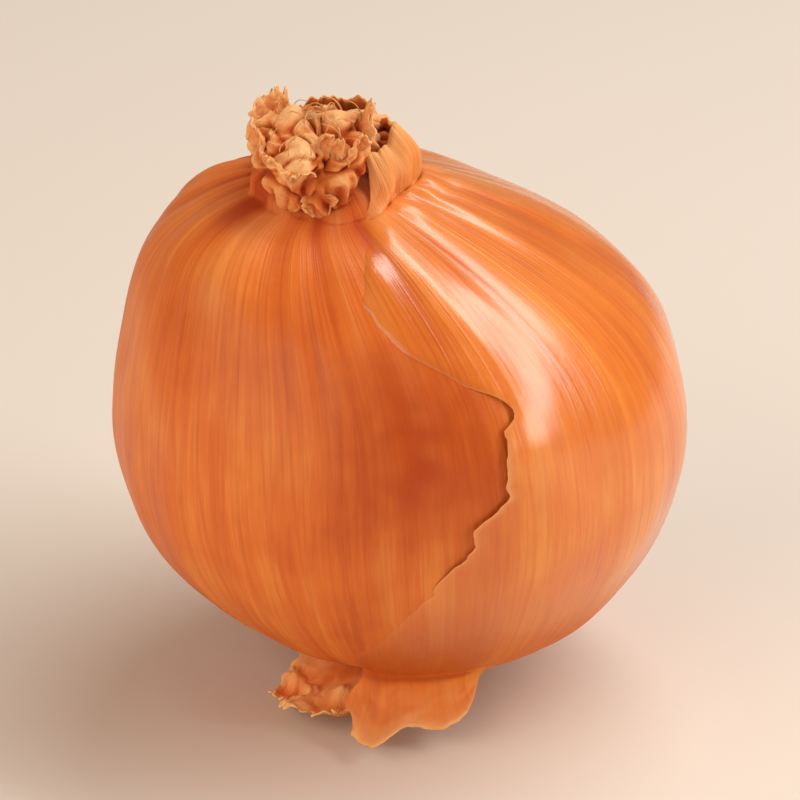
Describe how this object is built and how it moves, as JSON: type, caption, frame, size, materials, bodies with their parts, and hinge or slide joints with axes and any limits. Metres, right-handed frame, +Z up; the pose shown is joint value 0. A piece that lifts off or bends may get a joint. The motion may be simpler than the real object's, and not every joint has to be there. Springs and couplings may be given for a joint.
{
  "type": "onion",
  "caption": "Whole dry yellow onion with a short dried neck, a torn glossy outer skin and a flattened tuft of roots that it stands on.",
  "frame": {"origin": "centre of the flat spot under the root tuft that the onion stands on", "axes": "+Z up from the roots to the neck, the torn edge of the outer skin faces -Y, the neck leans to -X"},
  "size_m": [0.0705, 0.0691, 0.0758],
  "materials": {
    "bulb_skin": "satin dry onion skin, close on the bulb, with fine lines from root to neck",
    "outer_skin": "glossy dry onion skin, thin and papery at its torn edges",
    "dry_scrap": "matte papery scrap",
    "dry_root": "matte dried root fibres"
  },
  "bodies": {
    "root": {"bulb": "bulb_skin", "outer_skin": "outer_skin", "skin_scrap": "dry_scrap", "root_tuft": "dry_root"}
  },
  "joints": []
}
